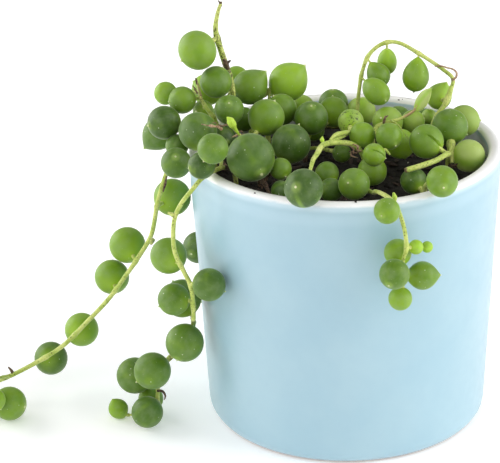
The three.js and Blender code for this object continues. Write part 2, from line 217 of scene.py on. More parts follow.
add_strand(
    "second_trailer", thickness=0.82, speckled=0.5,
    dried=[(-22.8, -11, 56.5, 3), (-33.9, -18, 50.4, 0.9), (-38.6, -7.5, 11, 1.4), (-36, -7.5, 14.6, 1)],
    twigs=[
        ([(-28.1, -9.2, 65.5), (-27, -9.2, 65.2), (-26.3, -9, 65)], [0.08, 0.1, 0.1], 1, 0.6),
        ([(-26.7, -9, 65.1), (-26.2, -9, 65), (-25.5, -8.6, 64.7)], [0.15, 0.36, 0.2], 1, 1),
        ([(-25.6, -8.6, 64.7), (-24.9, -8.2, 64.5), (-24.2, -7.8, 63.8)], [0.2, 0.26, 0.32], 1, 1),
        ([(-24.9, -8.2, 65), (-24.1, -7.9, 64.5), (-23.2, -7.4, 64.6), (-22.6, -7, 64.2)],
         [0.1, 0.2, 0.15, 0.1], 1, 0.2),
        ([(-25.2, -8.6, 65.3), (-25.6, -8.8, 65.6), (-26.1, -9, 65.5)], [0.12, 0.1, 0.05], 1, 0.2),
        ([(-33.9, -18, 50.3), (-34.4, -18.2, 50.7), (-34.9, -18.2, 50.9)], [0.5, 0.35, 0.2], 0.2, 0),
        ([(-35.2, -7.6, 15.4), (-36.2, -8, 15), (-37, -8.2, 14.2)], [0.45, 0.4, 0.25], 0.3, 0),
        ([(-38.9, -7.6, 7.2), (-37.9, -8, 7.3), (-37.3, -8.2, 6.4), (-37.5, -8.6, 5.6)],
         [0.3, 0.28, 0.22, 0.12], 1, 0),
    ],
    stems=[
        [(-21.5, -8, 49), (-22, -9, 55), (-23.5, -12, 57.5), (-25.5, -14.5, 58), (-28, -17, 57.5),
         (-30, -18, 55.5), (-32, -18, 53), (-33.5, -18, 50), (-34, -18, 46.5), (-33.8, -18, 42.5),
         (-32.2, -17.5, 38), (-31, -17.5, 35), (-30.7, -17, 30), (-30.8, -14.5, 26.5), (-31, -10.5, 24.7),
         (-31.3, -7.4, 21), (-35, -7.5, 15.5), (-38.3, -7.5, 12), (-38.8, -7.2, 7.5), (-39, -7.4, 4),
         (-39.3, -7, 1.5), (-42, -6.5, 1.2), (-45, -6, 1)],
        [(-23, -10.5, 56.5), (-25.5, -8, 58), (-28.5, -8, 58)],
        [(-30.7, -16.5, 28.5), (-31, -13, 28)],
        [(-24.5, -13.5, 57.9), (-24.3, -15.5, 60.3), (-24.3, -18, 62.6)],
    ],
    pearls=[
        pearl(-28.9, -5, 62.4, 7.6, RIPE),
        pearl(-25.8, -20.5, 64.7, 5.9, GROWN, LEFT + DOWN + FRONT),
        pearl(-28.1, -17.5, 60.2, 5.3, LATE, LEFT * 2 + FRONT),
        pearl(-33.2, -9.5, 57.7, 6, RIPE, FRONT + UP),
        pearl(-35.3, -13, 39.6, 7.2, HALF),
        pearl(-27.4, -19.5, 36.1, 6.5, RIPE, RIGHT * 2 + DOWN),
        pearl(-34.5, -15, 31.1, 6.4, GROWN, LEFT * 2 + DOWN),
        pearl(-33.1, -8, 28, 7.7, FULL),
        pearl(-32.8, -12, 20.1, 7.7, GROWN),
        pearl(-39.5, -12, 14, 7.5, FULL, LEFT * 2 + FRONT + DOWN),
        pearl(-43.5, -5, 9.5, 7.5, FULL),
        pearl(-41, -10.5, 3.9, 6.5, RIPE, LEFT + DOWN),
        pearl(-40.5, -3.8, 3.5, 5.2, HALF),
        pearl(-47.2, -5.5, 2.2, 4.1, YOUNG, LEFT + UP * 2, form="lemon"),
    ],
)
add_strand(
    "back_trailer",
    stems=[
        [(-18.5, 15, 49), (-18.5, 15.5, 55), (-20, 17, 57.8), (-22, 19, 58.5), (-24.5, 21, 57.3),
         (-26, 22, 54), (-27, 22.5, 50), (-27.5, 22, 42), (-28, 21.5, 34), (-28.5, 21.5, 26), (-28, 22, 19)],
    ],
    pearls=[
        pearl(-24.5, 26.5, 53, 6, GROWN),
        pearl(-24, 26, 45.5, 6.5, RIPE),
        pearl(-27.8, 26, 39.5, 6.4, GROWN),
        pearl(-23.5, 25.5, 34, 6.5, GROWN),
        pearl(-30.1, 18, 27.7, 6.8, RIPE),
        pearl(-26, 25.5, 22, 6.5, YOUNG),
        pearl(-28, 22, 14.5, 5, YOUNG),
    ],
)
add_strand(
    "mid_left",
    stems=[[(-15, 12, 49), (-15, 12.5, 56), (-14.7, 13, 61), (-14.5, 14, 64)]],
    pearls=[
        pearl(-18.5, 13, 64.9, 7.1, HALF, RIGHT + UP, form="onion"),
        pearl(-10.7, 15.3, 65, 7.9, FRESH, RIGHT + UP, form="lemon"),
        pearl(-12.3, 9, 61.4, 6.4, HALF, UP * 2 + LEFT),
    ],
)
add_strand(
    "front_left",
    # The brown spots on these stems are painted shade, where the stems lie in shade under the big pearl.
    dried=[(-16.5, -8, 54, 5), (-15.5, -16, 54, 5)],
    twigs=[
        ([(-17.6, -5.6, 57.4), (-19.4, -8, 61), (-20.9, -9, 63.2)], [0.3, 0.3, 0.3], 0.3, 0),
        ([(-20.9, -9, 63.1), (-21.4, -9.3, 64.1), (-21.8, -9.6, 64.9), (-22.2, -9.8, 65.8),
          (-22.6, -9.9, 66.5), (-23.1, -10, 67.1)], [0.22, 0.3, 0.42, 0.85, 0.8, 0.1], -1, 0),
        ([(-20.9, -9, 63.3), (-21.4, -9, 62.9), (-22.2, -9, 62.6)], [0.2, 0.25, 0.12], 0.6, 0.6),
        ([(-21, -9, 63.4), (-20.4, -8.8, 63.7), (-20, -8.8, 63.3)], [0.12, 0.16, 0.08], 1, 0),
        ([(-20.7, -8.9, 62.9), (-20.2, -8.7, 62.9), (-19.6, -8.6, 63)], [0.2, 0.2, 0.1], 0.9, 0.2),
    ],
    stems=[
        [(-17, -6, 49), (-17, -6, 54.5), (-18, -5, 58), (-18.5, -3, 60)],
        [(-17, -6, 53), (-14.5, -6, 53.5), (-13, -5.5, 54)],
        [(-17, -6.5, 54), (-17, -10, 55), (-16, -14, 54.5), (-15, -18, 53.5)],
    ],
    pearls=[
        pearl(-15.4, 2, 62.4, 7.3, HALF, UP * 2 + RIGHT),
        pearl(-10.7, -3, 58.6, 7.8, LATE),
        pearl(-18.7, -15, 60.6, 9.3, RIPE, FRONT * 2 + DOWN + RIGHT),
        pearl(-13, -13, 57.3, 4.3, HALF, FRONT * 2 + DOWN + RIGHT),
        pearl(-13.1, -18, 54.9, 3.8, LATE),
    ],
)
add_strand(
    "front_loop",
    twigs=[
        ([(-4.7, -12, 62), (-4.9, -12, 62.7), (-4.8, -12, 63.4)], [0.3, 0.45, 0.1], -1, 0),
        ([(-3.3, -10.3, 62), (-2.3, -9, 62.4), (-1, -7, 62), (0.7, -4, 61.2)], [0.2, 0.5, 0.5, 0.3], 0.2, 0),
        ([(0.7, -8, 59.7), (1.4, -8.2, 59), (0.8, -8.5, 58), (2.1, -9, 57.6)],
         [0.12, 0.2, 0.2, 0.1], 1, 0.2),
        ([(3, -8, 58.6), (2.1, -8.1, 58.9), (2.2, -8, 59.6), (1.2, -7.8, 60)],
         [0.1, 0.2, 0.22, 0.1], 1, 0.6),
        ([(0.4, -8.3, 58.8), (1.5, -8.5, 58.4), (2.6, -8.6, 58.8)], [0.1, 0.25, 0.1], 1, 0),
    ],
    stems=[
        [(3.9, -3, 49), (3.8, -3.2, 54.5), (2.8, -4.6, 57.5), (0.8, -7, 59.8), (-2, -9.3, 61),
         (-4.3, -12, 61.8), (-5.3, -15, 62.3), (-6, -18, 62.3), (-6.9, -20.5, 62), (-7.5, -23, 61.2),
         (-8, -25.5, 60.5)],
        [(-3.3, -10.5, 61.5), (-2, -8, 61.3), (-0.5, -5, 60.7), (0.9, -2, 60.2)],
    ],
    pearls=[
        pearl(-9.1, -31.6, 60.7, 7.3, LATE, LEFT + FRONT * 2 + UP, face=DOWN + FRONT * 0.5, stripe=4),
        pearl(1.4, 3, 60.6, 5.2, FRESH, bloom=0.35, grit=0.9),
        pearl(3.3, -3.9, 60.4, 5.1, YOUNG, FRONT + RIGHT + DOWN),
    ],
)
add_strand(
    "centre",
    stems=[
        [(-7.6, 7, 49), (-7.5, 7.2, 54), (-6.3, 8, 57), (-4.8, 9.5, 58)],
        [(-7.5, 7.2, 53.5), (-5.5, 6.2, 54), (-3.5, 5.2, 54)],
    ],
    pearls=[
        pearl(-6.4, 5, 60.9, 6.8, FULL, FRONT + UP * 2),
        pearl(-1.7, 13, 59.2, 6.1, YOUNG, UP * 2 + BACK),
        pearl(-5.7, 11.8, 55.7, 4.4, GROWN),
        pearl(-0.4, 4, 53.6, 3.8, GROWN),
    ],
)
add_strand(
    "right_trailer", thickness=0.75,
    twigs=[
        ([(7.6, -32.6, 58), (7.6, -33, 59), (7.4, -33.2, 60)], [0.35, 0.5, 0.2], -0.6, 0),
    ],
    stems=[
        [(-0.5, -13, 49), (-0.5, -13.5, 53), (1, -15.5, 54), (3, -18, 54.5), (4.5, -22, 55.5),
         (4.5, -25, 57), (5.5, -28.5, 58), (7, -31.5, 58), (8, -33, 57), (9, -34, 54.5), (9.5, -36, 52),
         (9.5, -37, 50), (9, -37, 48.5), (9, -36, 45.5), (9.5, -35.5, 43.5)],
    ],
    pearls=[
        pearl(-3.9, -9, 54.5, 4.7, GROWN),
        pearl(-3.5, -17, 54.3, 4.6, RIPE),
        pearl(0.8, -20, 56.6, 6.1, HALF, FRONT * 2 + LEFT + UP),
        pearl(6, -36, 57.6, 4.9, HALF, FRONT * 2 + LEFT),
        pearl(8.2, -33.3, 48, 5.2, YOUNG),
        pearl(7.2, -38.8, 46.1, 5.7, GROWN, FRONT * 2 + DOWN + LEFT),
        pearl(12.8, -34, 43.5, 5.4, HALF, RIGHT, form="lemon"),
        pearl(8.5, -36, 39.8, 4.5, YOUNG, DOWN),
        pearl(11.4, -35.5, 50, 2.8, NEW),
        pearl(13.6, -34, 49.3, 2.2, NEW),
    ],
)
add_strand(
    "arch", thickness=0.72, speckled=0,
    dried=[(22.2, 9, 66.8, 1)],
    twigs=[
        ([(21.8, 8.2, 65.8), (21.5, 7.7, 64.7), (20.8, 6.9, 63.2), (20, 6.4, 61.9), (19, 5.9, 60.9)],
         [0.4, 0.62, 0.68, 0.5, 0.35], 0, 0),
        ([(18.7, 10.6, 69.2), (19.8, 9.6, 69.6), (21, 9, 69.4), (22.2, 8.4, 69.2), (22.8, 8, 68.6),
          (22.7, 8, 67.7), (22.1, 8.2, 67.1)], [0.12, 0.16, 0.17, 0.18, 0.2, 0.24, 0.2], 0.75, 0.8),
    ],
    stems=[
        [(3, 11.5, 49), (3, 11.5, 57.5), (3.5, 11.5, 64), (4.2, 12, 68), (5.5, 12.5, 71.2), (7.5, 13, 73),
         (9.8, 13, 73.8), (12, 13, 73.4), (15, 12, 71.9), (18.2, 11, 70), (20.4, 10, 68.6), (22.2, 9, 67),
         (21.6, 8, 64.8), (20.6, 7, 62.6), (18.9, 6, 60.8), (17.7, 5, 58.5), (17, 4.5, 55), (17, 4.5, 49)],
    ],
    pearls=[
        pearl(9.4, 15, 68.4, 4, FRESH, stretch=1.1, form="drop", hung=(9.4, 13, 73.8)),
        pearl(7.5, 11.5, 67.2, 4.7, HALF, form="teardrop", hung=(5.2, 12.5, 70.7)),
        pearl(7.1, 7.1, 65, 5, YOUNG, form="drop", hung=(4, 11.8, 67)),
        pearl(14.9, 11, 66.9, 5.4, YOUNG, stretch=1.1, form="teardrop", hung=(15.4, 12, 71.8)),
        pearl(19.7, 12, 62.2, 5.2, FRESH, RIGHT + UP * 2, form="onion", bloom=0.2, hung=(21.6, 8, 64.8)),
    ],
)
add_strand(
    "new_leaf", thickness=0.85,
    blushed=[(13.5, 1, 63.2, 2.6)],
    twigs=[
        ([(7.8, 1.1, 61), (7.9, 0.3, 61.9), (8.1, 0, 62.8)], [0.25, 0.32, 0.15], 1, 0.3),
        ([(8.1, 0.2, 62.4), (8.6, 0, 62.9)], [0.2, 0.1], 1, 0.3),
        ([(9.3, 1.3, 61.4), (10.6, -1.6, 61.4), (11.6, -3, 60.2), (12.4, -4, 59.2)],
         [0.12, 0.12, 0.1, 0.06], 0.3, 0),
        ([(6.4, -9.2, 58.5), (7.4, -8.4, 58.9), (8.4, -8.8, 58)], [0.2, 0.4, 0.2], 0.25, 0),
    ],
    stems=[
        [(6, -1.5, 49), (6, -1.5, 55), (5.5, -0.5, 58.5), (6.5, 1, 60.2), (8.5, 1.5, 60.8),
         (10.5, 1.5, 61.3), (12.5, 1.5, 62.3), (14, 1, 63.5)],
        [(6, -1.5, 56), (6.5, -4, 57.5), (6.5, -7, 58), (6, -9.5, 58.3)],
    ],
    pearls=[
        pearl(5.1, -12, 59.3, 4.5, YOUNG, RIGHT * 4 + DOWN + FRONT, FRONT + UP, form="cleft"),
        pearl(5, -7.6, 54.2, 5.8, YOUNG),
        pearl(8.4, -6.1, 60.8, 5.3, HALF, FRONT * 2 + DOWN + RIGHT),
        pearl(11.1, 0.3, 56.7, 6, NEW),
        pearl(15.4, 0.5, 65.7, 3.2, NEW, face=FRONT + UP + LEFT, stretch=1.6, form="boat", bloom=1),
    ],
)
add_strand(
    "right_rim", blunt=1,
    dried=[(10.8, -16, 57.5, 1)],
    twigs=[
        ([(20.9, -1, 59), (20.8, -2.8, 57.7), (20.8, -4.2, 56.6), (20.8, -5.8, 54.8)],
         [0.5, 0.95, 0.75, 0.35], 0, 0),
        ([(20.4, -4.2, 53.6), (21.4, -6, 54.4), (22.2, -6.4, 55.2)], [0.35, 0.25, 0.08], 1, 0),
        ([(20.4, -4.2, 53.4), (22, -5.6, 53.9), (23, -6.2, 54.3)], [0.35, 0.25, 0.08], 1, 0),
        ([(19.2, -5.4, 57), (18.4, -6.6, 58), (18, -6.4, 58.6)], [0.3, 0.35, 0.1], 0.3, 0),
    ],
    stems=[
        [(20, -3, 49), (20, -4, 54), (20.3, -5, 57), (20.8, -4.5, 58)],
        [(20.3, -4.5, 56), (19.5, -8, 57.5), (17, -12, 57.8), (14, -14.5, 57.8), (10.8, -16, 57.5)],
        [(20, -3.5, 53), (21.5, 0, 54.5), (22, 3, 55.5)],
    ],
    pearls=[
        pearl(15.7, -6, 59.5, 6.8, HALF, RIGHT * 3 + DOWN * 2 + FRONT, FRONT * 3 + UP + RIGHT * 2,
              form="cleft"),
        pearl(20.9, 0.5, 60, 7.2, GROWN, RIGHT * 2 + DOWN),
        pearl(24.3, 6.9, 58.8, 6.4, YOUNG, RIGHT, bloom=0.4),
        pearl(24.2, -4.3, 55.6, 6.5, YOUNG, face=FRONT + LEFT * 2, bloom=0.7),
    ],
)
add_strand(
    "front_right",
    stems=[[(14, -15.5, 49), (14.5, -17, 54), (15.5, -20, 57), (16.4, -22.5, 59), (16.6, -24, 59.5)]],
    pearls=[
        pearl(16.8, -28, 59.9, 6, HALF, FRONT),
        pearl(12.7, -13, 54.1, 5.2, RIPE),
    ],
)
add_strand(
    "back_right",
    stems=[[(11, 9, 49), (11, 9.5, 54), (11, 9, 57)]],
    # The bloom on these pearls is partly painted light, lifting them out of the shade at the back.
    pearls=[
        pearl(8.9, 5.8, 59.4, 6.2, FRESH, bloom=0.3),
        pearl(14.1, 8, 58.4, 4.9, NEW, bloom=0.5),
    ],
)
add_strand(
    "back_creeper",
    stems=[
        [(-12, 20.5, 49), (-11, 20.8, 52), (-6, 21.8, 52.8), (0, 21.5, 52.8), (6, 18.5, 53), (12, 15.5, 53),
         (16, 15, 52.5), (19, 13, 52)],
    ],
    # The bloom on some of these pearls is partly painted light, lifting them out of the shade at the back.
    pearls=[
        pearl(-1.3, 21, 58, 6.2, GROWN),
        pearl(4.3, 19, 56.8, 6.2, NEW, bloom=0.4),
        pearl(-8, 22, 56.7, 6, FRESH, bloom=0.3),
        pearl(12, 19.5, 54.8, 5.5, GROWN),
        pearl(-14.5, 19, 56, 6, RIPE),
        pearl(17.8, 13, 57.6, 3.2, NEW, bloom=0.6),
        pearl(17.5, 17.5, 54.8, 5.5, GROWN),
        pearl(9, 13, 56, 4.5, GROWN),
    ],
)


def shown(name, data):
    """A new object of the scene that holds some data."""
    thing = bpy.data.objects.new(name, data)
    bpy.context.scene.collection.objects.link(thing)
    return thing


def make_camera():
    """A long lens in front of the pot, looking down on it, and rolled a little."""
    target = Vector((-19.2, 0, 38.75)) * METRES
    elevation = math.radians(23.2)
    roll = math.radians(-1.45)
    distance = 0.45
    data = bpy.data.cameras.new("camera")
    data.sensor_width = 36
    data.lens = 160.8
    data.clip_start = 0.01
    data.clip_end = 20
    camera = shown("camera", data)
    camera.location = target + distance * Vector((0, -math.cos(elevation), math.sin(elevation)))
    level = Matrix.Rotation(math.pi / 2 - elevation, 3, "X")
    camera.rotation_euler = (level @ Matrix.Rotation(roll, 3, "Z")).to_euler()
    bpy.context.scene.camera = camera


# Materials.


class Wire:
    """A socket of a material's nodes that takes part in arithmetic."""

    def __init__(self, paint, socket):
        self.paint = paint
        self.socket = socket

    def math(self, operation, first, second):
        return self.paint.node("ShaderNodeMath", {"operation": operation}, {0: first, 1: second})

    def __add__(self, other):
        return self.math("ADD", self, other)

    def __radd__(self, other):
        return self.math("ADD", other, self)

    def __sub__(self, other):
        return self.math("SUBTRACT", self, other)

    def __rsub__(self, other):
        return self.math("SUBTRACT", other, self)

    def __mul__(self, other):
        return self.math("MULTIPLY", self, other)

    def __rmul__(self, other):
        return self.math("MULTIPLY", other, self)

    def __truediv__(self, other):
        return self.math("DIVIDE", self, other)

    def __pow__(self, other):
        return self.math("POWER", self, other)

    def __abs__(self):
        return self.math("ABSOLUTE", self, 0)


class Paint:
    """A material, whose nodes are all made by one method."""

    def __init__(self, name):
        self.material = bpy.data.materials.new(name)
        self.material.use_nodes = True
        self.tree = self.material.node_tree
        self.tree.nodes.clear()
        self.place = self.node("ShaderNodeTexCoord", {}, {}, "Object")

    def node(self, kind, settings, values, output=0):
        """A node with its settings made first, then its sockets filled by values or wires."""
        made = self.tree.nodes.new(kind)
        for name, setting in settings.items():
            if name == "stops":
                self.set_stops(made.color_ramp, setting)
            else:
                setattr(made, name, setting)
        for name, value in values.items():
            if isinstance(value, Wire):
                self.tree.links.new(value.socket, made.inputs[name])
            else:
                made.inputs[name].default_value = value
        return Wire(self, made.outputs[output])

    @staticmethod
    def set_stops(ramp, stops):
        while len(ramp.elements) < len(stops):
            ramp.elements.new(1)
        for element, (position, colour) in zip(ramp.elements, stops):
            element.position = position
            element.color = (*colour, 1)

    def parts(self, vector):
        """The three numbers of a vector."""
        return [self.node("ShaderNodeSeparateXYZ", {}, {0: vector}, i) for i in range(3)]

    def vector(self, x, y, z):
        return self.node("ShaderNodeCombineXYZ", {}, {0: x, 1: y, 2: z})

    def number(self, name):
        """A number that the piece's corners carry."""
        return self.node("ShaderNodeAttribute", {"attribute_name": name}, {}, "Fac")

    def clouds(self, vector, scale, detail=2.0, roughness=0.5):
        """Soft noise from 0 to 1 over any vector."""
        values = {"Vector": vector, "Scale": scale, "Detail": detail, "Roughness": roughness}
        return self.node("ShaderNodeTexNoise", {}, values, "Fac")

    def noise(self, size, vector=None, detail=2.0, roughness=0.5):
        """The same over the piece's own places, or others in metres, with its size in millimetres."""
        return self.clouds(vector or self.place, 1 / (size * METRES), detail, roughness)

    def spots(self, spacing, radius, share):
        """A mask of small round spots in cells a spacing apart, of which only a share hold one."""
        values = {"Vector": self.place, "Scale": 1 / (spacing * METRES)}
        away = self.node("ShaderNodeTexVoronoi", {}, values, "Distance")
        chance = self.node("ShaderNodeTexVoronoi", {}, values, "Color")
        chosen = self.step(self.parts(chance)[0], 1 - share, 1 - share + 0.02)
        return self.step(away, radius / spacing, radius / spacing * 0.6) * chosen

    def step(self, value, low, high, to_low=0.0, to_high=1.0):
        """Eases from to_low to to_high as the value goes from low to high."""
        settings = {"interpolation_type": "SMOOTHSTEP"}
        values = {"Value": value, "From Min": low, "From Max": high, "To Min": to_low, "To Max": to_high}
        return self.node("ShaderNodeMapRange", settings, values)

    def blend(self, share, first, second):
        """A mix of two colours."""
        settings = {"data_type": "RGBA", "clamp_factor": True}
        first = first if isinstance(first, Wire) else (*first, 1)
        second = second if isinstance(second, Wire) else (*second, 1)
        return self.node("ShaderNodeMix", settings, {0: share, 6: first, 7: second}, 2)

    def ramp(self, value, stops):
        return self.node("ShaderNodeValToRGB", {"stops": stops}, {"Fac": value}, "Color")

    def bump(self, height, depth, normal=None):
        """A bump as deep as the given millimetres where the height goes from 0 to 1."""
        values = {"Height": height, "Distance": depth * METRES, "Strength": 1.0}
        if normal:
            values["Normal"] = normal
        return self.node("ShaderNodeBump", {}, values)

    def finish(self, **values):
        """The surface itself, with its sockets named by words joined with an underscore."""
        named = {name.replace("_", " "): value for name, value in values.items()}
        surface = self.node("ShaderNodeBsdfPrincipled", {}, named)
        end = self.tree.nodes.new("ShaderNodeOutputMaterial")
        self.tree.links.new(surface.socket, end.inputs["Surface"])
        return self.material


def glaze_paint():
    """Sky-blue glaze that runs thin and white over the lip and inside, and is wiped off under the foot,
    where the bare band is painted darker as a contact shadow too.
    """
    paint = Paint("sky_blue_glaze")
    blend, step = paint.blend, paint.step
    x, y, z = paint.parts(paint.place)
    top = POT_HEIGHT
    height = z / METRES
    radius = (x * x + y * y) ** 0.5 / METRES
    mid_wall = FOOT_RADIUS - WALL / 2 + height * ((RIM_RADIUS - FOOT_RADIUS) / POT_HEIGHT)
    broad = paint.noise(14, detail=3)
    small = paint.noise(2.2, detail=3)
    edge = height + (broad - 0.5) * 0.9 + (small - 0.5) * 0.3
    cloud = blend(step(broad, 0.3, 0.7), (0.325, 0.500, 0.585), (0.355, 0.525, 0.600))
    blue = blend(step(small, 0.35, 0.75) * 0.15, cloud, (0.30, 0.46, 0.56))
    # A lighter blue band just under the lip is a painted highlight, standing for the gloss of the glaze
    # there.
    painted_highlight_band = step(edge, top - 5.5, top - 3.5) * step(edge, top - 1.5, top - 3)
    highlighted = blend(painted_highlight_band * 0.35, blue, (0.45, 0.62, 0.70))
    thin = blend(step(edge, top - 2.2, top - 0.9), highlighted, (0.52, 0.67, 0.74))
    off_rim = radius + (small - 0.5) * 0.3
    on_top = step(height + (small - 0.5) * 0.3, top - 1.0, top - 0.7)
    inwards = step(off_rim, RIM_RADIUS - 0.7, RIM_RADIUS - 1.7)
    bare_lip = blend(inwards, (0.96, 0.96, 0.95), (0.86, 0.85, 0.81))
    lip = blend(on_top * step(off_rim, RIM_RADIUS + 0.1, RIM_RADIUS - 0.25), thin, bare_lip)
    within = step(mid_wall - radius, -0.35, 0.1)
    inner = blend(step(small, 0.3, 0.8), (0.74, 0.77, 0.79), (0.66, 0.70, 0.73))
    walls = blend(within * step(height, top - 0.9, top - 2.2), lip, inner)
    crumbs = paint.noise(1.1, detail=4, roughness=0.7)
    splashed = step(crumbs - (height - SOIL_TOP) * 0.05, 0.46, 0.60) * within
    splashed = splashed * step(x, -0.004, 0.026, 0.25, 1.0)
    # The inner wall turns darker grey towards the soil.
    greyed_near_soil = step(height + crumbs * 2, SOIL_TOP + 5.5, SOIL_TOP + 2.5) * within
    soiled = blend(splashed * 0.85, walls, (0.075, 0.05, 0.032))
    greyed = blend(greyed_near_soil * 0.45, soiled, (0.20, 0.19, 0.18))
    specks = paint.spots(5.0, 0.24, 0.14) * step(height, top - 4, top - 1, 0.12, 1.0)
    marked = blend(specks, greyed, (0.045, 0.035, 0.03))
    # The unglazed foot is a grey-brown band. It is partly the bare clay and partly painted contact shadow
    # along the bottom edge.
    bare_and_shadowed_foot = step(height + (small - 0.5) * 0.15, 0.50, 0.25)
    body = blend(bare_and_shadowed_foot, marked, (0.30, 0.24, 0.21))
    rough = step(small, 0.2, 0.8, 0.34, 0.42) + splashed * 0.4 + bare_and_shadowed_foot * 0.4
    rings = paint.noise(1.6, paint.vector(x * 0.08, y * 0.08, z), detail=2)
    wavy = paint.bump(broad, 0.20)
    turned = paint.bump(rings, 0.010, wavy)
    pitted = paint.bump(paint.spots(2.2, 0.12, 0.12) + splashed, -0.02, turned)
    return paint.finish(Base_Color=body, Roughness=rough, Normal=pitted, Coat_Weight=0.3,
                        Coat_Roughness=0.25)


def soil_paint():
    """Damp peat with bark and a few pale grains, told apart by the number that each crumb carries."""
    paint = Paint("potting_soil")
    blend, step = paint.blend, paint.step
    kind = paint.number("kind")
    grain = paint.noise(0.5, detail=5, roughness=0.7)
    coarse = paint.noise(2.5, detail=3)
    peat = blend(grain, (0.006, 0.005, 0.004), (0.035, 0.026, 0.018))
    damp = blend(step(coarse, 0.35, 0.7), peat, (0.012, 0.009, 0.007))
    bark = blend(grain, (0.022, 0.014, 0.010), (0.08, 0.05, 0.034))
    pale = blend(grain, (0.45, 0.40, 0.33), (0.62, 0.60, 0.54))
    barky = blend(step(kind, BARK_FROM, BARK_FROM + 0.05), damp, bark)
    body = blend(step(kind, GRAIN_FROM, GRAIN_FROM + 0.02), barky, pale)
    fine = paint.bump(paint.noise(0.25, detail=4), 0.12)
    return paint.finish(Base_Color=body, Roughness=step(coarse, 0.3, 0.7, 0.75, 0.95), Normal=fine)


def pearl_paint():
    """Waxy green skin. Each pearl carries its age, a seed, and its own axes with the point at the top."""
    paint = Paint("pearl_skin")
    blend, step = paint.blend, paint.step
    age = paint.number("age")
    seed = paint.number("seed")
    neck = paint.number("neck")
    bloom = paint.number("bloom")
    stripe = paint.number("stripe")
    grit = paint.number("grit")
    leaf = paint.node("ShaderNodeAttribute", {"attribute_name": "leaf"}, {}, "Vector")
    x, y, z = paint.parts(leaf)
    own = paint.vector(x + seed * 17, y + seed * 31, z)
    cloud = paint.clouds(own, 1.1)
    deep = blend(step(cloud, 0.55, 0.3) * 0.6, paint.ramp(age, GREENS), paint.ramp(age, CLOUDED))
    warm = blend(step(cloud, 0.5, 0.8) * 0.45, deep, (0.20, 0.33, 0.015))
    streaks = paint.clouds(paint.vector(x * 7 + seed * 40, y * 7, z * 0.8), 1)
    lined = blend(step(streaks, 0.4, 0.8) * 0.10, warm, (0.22, 0.35, 0.04))
    off_middle = abs(x) + (streaks - 0.5) * 0.08
    window = step(off_middle, 0.20, 0.02) * step(y, 0.05, 0.5) * step(abs(z), 0.98, 0.6)
    clear = blend(window * stripe * 0.18, lined, (0.22, 0.37, 0.03))
    wax = paint.clouds(own, 1.6, 3, 0.55)
    waxed = blend(step(wax, 0.35, 0.75, 0.0, 0.26), clear, (0.23, 0.30, 0.16))
    # Pale bloom: partly the real waxy bloom, and partly painted light that lifts shaded pearls at the back.
    bloomed_and_lit = blend(bloom * step(off_middle, 0.05, 0.55, 0.15, 1.0), waxed, (0.42, 0.52, 0.15))
    fresh = blend(neck * 0.85, bloomed_and_lit, (0.36, 0.56, 0.03))
    settled = step(age, 0.3, 0.5, 0.3, 1.0)
    dusted = blend(paint.spots(0.5, 0.06, 0.35) * settled * 0.5, fresh, (0.5, 0.58, 0.36))
    flecked = blend(paint.spots(1.1, 0.14, 0.35) * settled * 0.65, dusted, (0.66, 0.72, 0.52))
    pricked = blend(paint.spots(2.3, 0.09, 0.07) * 0.8, flecked, (0.02, 0.025, 0.008))
    clumps = step(paint.noise(0.7, detail=4, roughness=0.8), 0.54, 0.60) * step(cloud, 0.56, 0.44)
    soiled = blend(grit * clumps, pricked, (0.04, 0.045, 0.014))
    halo = blend(step(z, 0.93, 0.995) * 0.4, soiled, (0.30, 0.44, 0.07))
    point = step(z + (streaks - 0.5) * 0.06, 1.015, 1.07) * (0.45 + seed * 0.55)
    body = blend(point, halo, (0.76, 0.76, 0.46))
    rough = step(wax, 0.3, 0.75, 0.40, 0.52) - window * 0.08
    fine = paint.bump(paint.noise(0.12, detail=3), 0.005)
    dented = paint.bump(cloud, 0.10, fine)
    return paint.finish(Base_Color=body, Roughness=rough, Normal=dented, Specular_IOR_Level=0.32,
                        Sheen_Weight=0.32, Sheen_Roughness=0.3, Sheen_Tint=(0.80, 0.92, 0.60, 1),
                        Subsurface_Weight=0.10, Subsurface_Radius=(0.5, 1.0, 0.1), Subsurface_Scale=0.0010)


def stem_paint():
    """Pale yellow-green stem with fine lines and specks, rosy or brown and withered in places, and brown as
    painted shade where it lies in shade.
    """
    paint = Paint("stem_skin")
    blend, step = paint.blend, paint.step
    dry = paint.number("dry")
    speckled = paint.number("speckled")
    blush = paint.number("blush")
    grain = paint.noise(0.35, detail=3)
    patch = paint.noise(2.5, detail=2)
    green = blend(step(patch, 0.35, 0.65), (0.40, 0.50, 0.085), (0.60, 0.65, 0.19))
    shaded = blend(step(grain, 0.45, 0.75) * 0.5, green, (0.24, 0.33, 0.04))
    rosy = blend(blush * 0.85, shaded, (0.50, 0.31, 0.17))
    grit = paint.noise(0.35, detail=2) + speckled * 0.06
    specks = step(grit, 0.63, 0.69) * step(patch, 0.62, 0.42, 0.4, 1.0)
    specked = blend(specks * 0.8, rosy, (0.055, 0.04, 0.012))
    brown = blend(step(grain, 0.38, 0.62), (0.045, 0.026, 0.015), (0.17, 0.105, 0.06))
    tan = blend(step(grain, 0.4, 0.6), (0.40, 0.22, 0.13), (0.68, 0.48, 0.30))
    # The brown withered skin also serves as painted shade on stems that lie in shade.
    withered_and_shaded = blend(blush * 0.85, brown, tan)
    browned = blend(step(dry + (grain - 0.5) * 0.6, 0.25, 0.6), specked, withered_and_shaded)
    body = blend(step(dry, -0.3, -0.9), browned, (0.46, 0.66, 0.06))
    fine = paint.bump(grain, 0.10)
    rough = step(dry, 0.2, 0.7, 0.45, 0.8)
    return paint.finish(Base_Color=body, Roughness=rough, Normal=fine, Specular_IOR_Level=0.35,
                        Sheen_Weight=0.1, Subsurface_Weight=0.1, Subsurface_Radius=(0.5, 1.0, 0.2),
                        Subsurface_Scale=0.0006)


